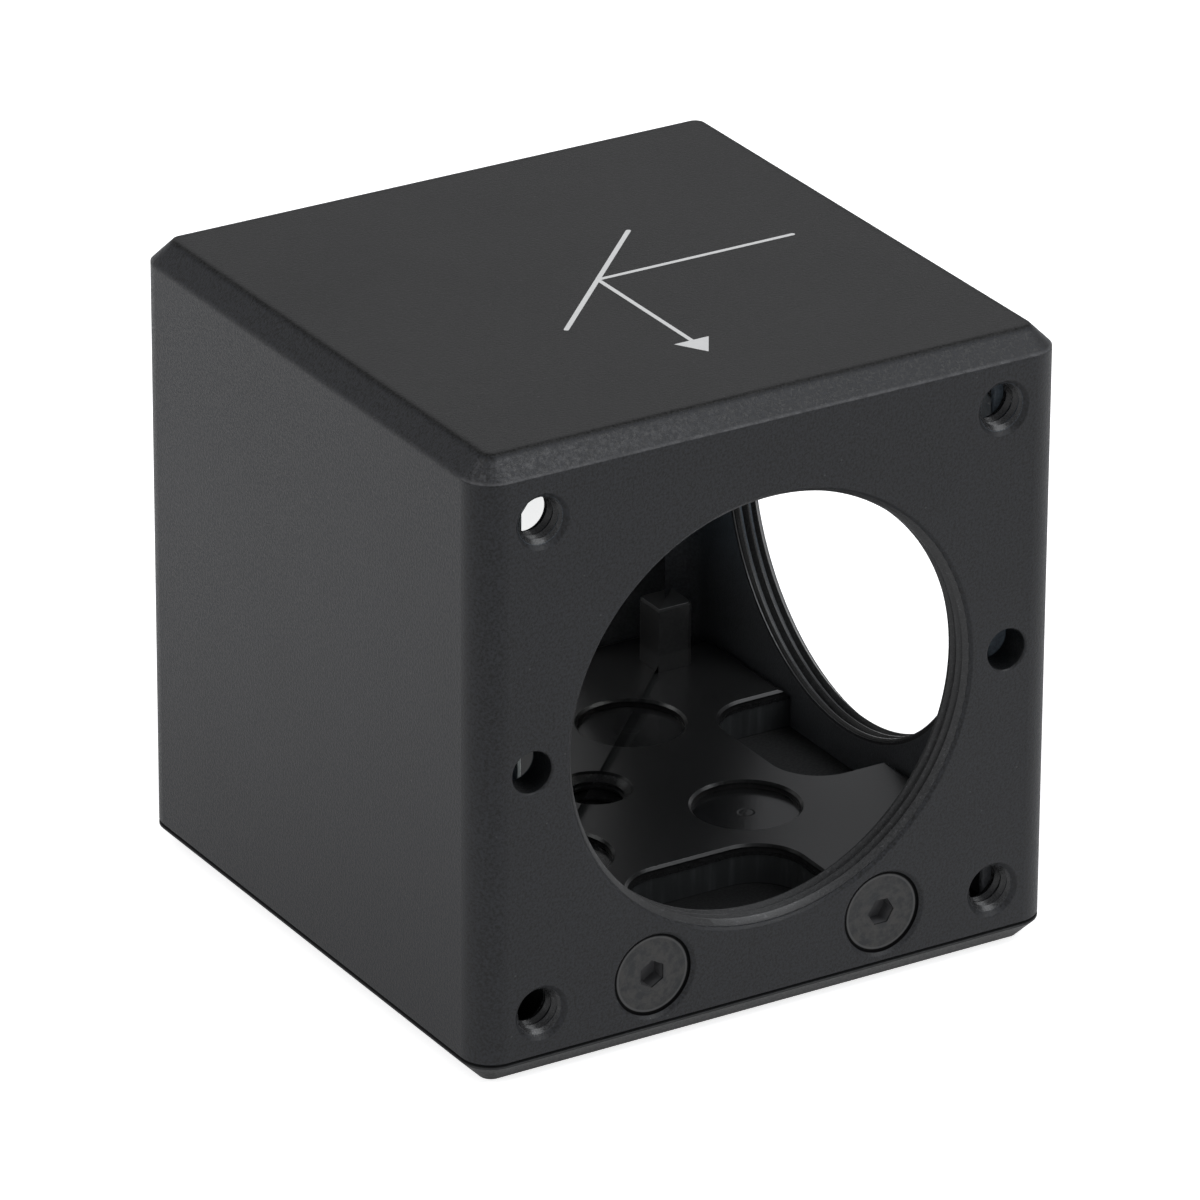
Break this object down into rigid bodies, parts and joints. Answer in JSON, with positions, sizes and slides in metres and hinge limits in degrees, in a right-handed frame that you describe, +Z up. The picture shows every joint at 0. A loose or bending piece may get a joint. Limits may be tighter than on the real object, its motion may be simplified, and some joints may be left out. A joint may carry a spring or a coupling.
{
  "type": "optical cage cube with turning mirror",
  "caption": "Black cube-shaped optics mount with a fixed diagonal mirror that turns a light beam by ninety degrees between two threaded ports.",
  "frame": {"origin": "centre of the bottom face, on the axis of the tapped post hole", "axes": "+Z up; the front port looks along -Y and the side port looks along +X; both port axes lie 19.05 mm above the bottom"},
  "size_m": [0.0382, 0.0382, 0.0381],
  "materials": {
    "anodised_body": "black anodised, satin",
    "anodised_base": "black anodised, fine machined",
    "silvered_prism": "polished, silvered on the long face",
    "adhesive": "cured epoxy",
    "black_oxide_screw": "black oxide, satin"
  },
  "bodies": {
    "root": {"cube_body": "anodised_body", "base_block": "anodised_base", "prism_mirror": "silvered_prism", "mirror_bond": "adhesive", "base_screw_front_left": "black_oxide_screw", "base_screw_front_right": "black_oxide_screw", "base_screw_back_left": "black_oxide_screw", "base_screw_back_right": "black_oxide_screw"}
  },
  "joints": []
}
